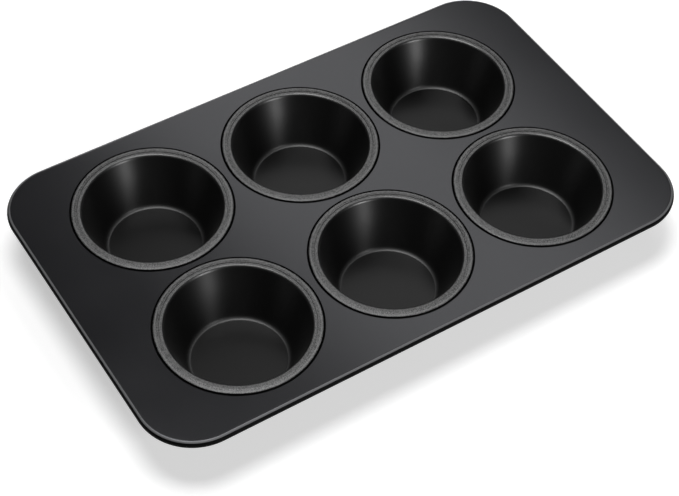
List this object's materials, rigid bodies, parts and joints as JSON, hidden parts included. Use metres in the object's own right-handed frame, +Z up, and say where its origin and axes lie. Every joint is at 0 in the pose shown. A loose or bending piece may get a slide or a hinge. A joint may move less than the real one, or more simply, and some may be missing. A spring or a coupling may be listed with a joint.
{
  "type": "muffin pan",
  "caption": "Rectangular muffin pan in dark coated steel: round tapered cups hang by their lips in grey rim rings set in a flat sheet with a rolled edge.",
  "frame": {"origin": "centre of the pan's outline, in the plane on which the cups stand", "axes": "+X along the three-cup length towards the right-hand end, +Y across the two rows away from the front edge, +Z up out of the cups' mouths"},
  "size_m": [0.297, 0.1848, 0.0281],
  "materials": {
    "sheet_coating": "satin dark grey non-stick coating on pressed steel sheet",
    "cup_coating": "smooth near-black non-stick coating on drawn steel",
    "ring_finish": "fine grained mid grey coating on pressed steel",
    "wire_steel": "bare drawn steel wire"
  },
  "bodies": {
    "root": {"tray_sheet": "sheet_coating", "edge_wire": "wire_steel", "cup_1": "cup_coating", "cup_2": "cup_coating", "cup_3": "cup_coating", "cup_4": "cup_coating", "cup_5": "cup_coating", "cup_6": "cup_coating", "rim_ring_1": "ring_finish", "rim_ring_2": "ring_finish", "rim_ring_3": "ring_finish", "rim_ring_4": "ring_finish", "rim_ring_5": "ring_finish", "rim_ring_6": "ring_finish"}
  },
  "joints": []
}
